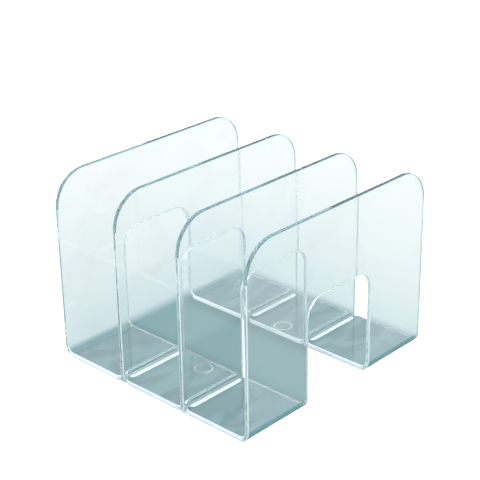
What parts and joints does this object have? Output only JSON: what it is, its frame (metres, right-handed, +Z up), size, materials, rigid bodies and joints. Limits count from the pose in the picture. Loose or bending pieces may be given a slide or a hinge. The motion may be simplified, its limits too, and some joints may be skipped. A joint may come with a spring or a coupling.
{
  "type": "desk magazine rack",
  "caption": "Clear plastic desk rack with equal open bays between upright arched panels, for books, magazines and catalogues.",
  "frame": {"origin": "centre of the footprint, on the surface the rack stands on", "axes": "+Z up; +X to the right across the bays; -Y to the front, the side the books are taken from; the panels stand in planes of constant X"},
  "size_m": [0.213, 0.216, 0.165],
  "materials": {
    "clear_sheet": "polished clear, faint blue-green tint",
    "cement": "cured clear cement, glossy"
  },
  "bodies": {
    "root": {"left_side": "clear_sheet", "right_side": "clear_sheet", "divider_left": "clear_sheet", "divider_right": "clear_sheet", "floor_plate_front": "clear_sheet", "floor_plate_back": "clear_sheet", "bead_1_front": "cement", "bead_1_back": "cement", "bead_2_front": "cement", "bead_2_back": "cement", "bead_3_front": "cement", "bead_3_back": "cement", "bead_4_front": "cement", "bead_4_back": "cement"}
  },
  "joints": []
}
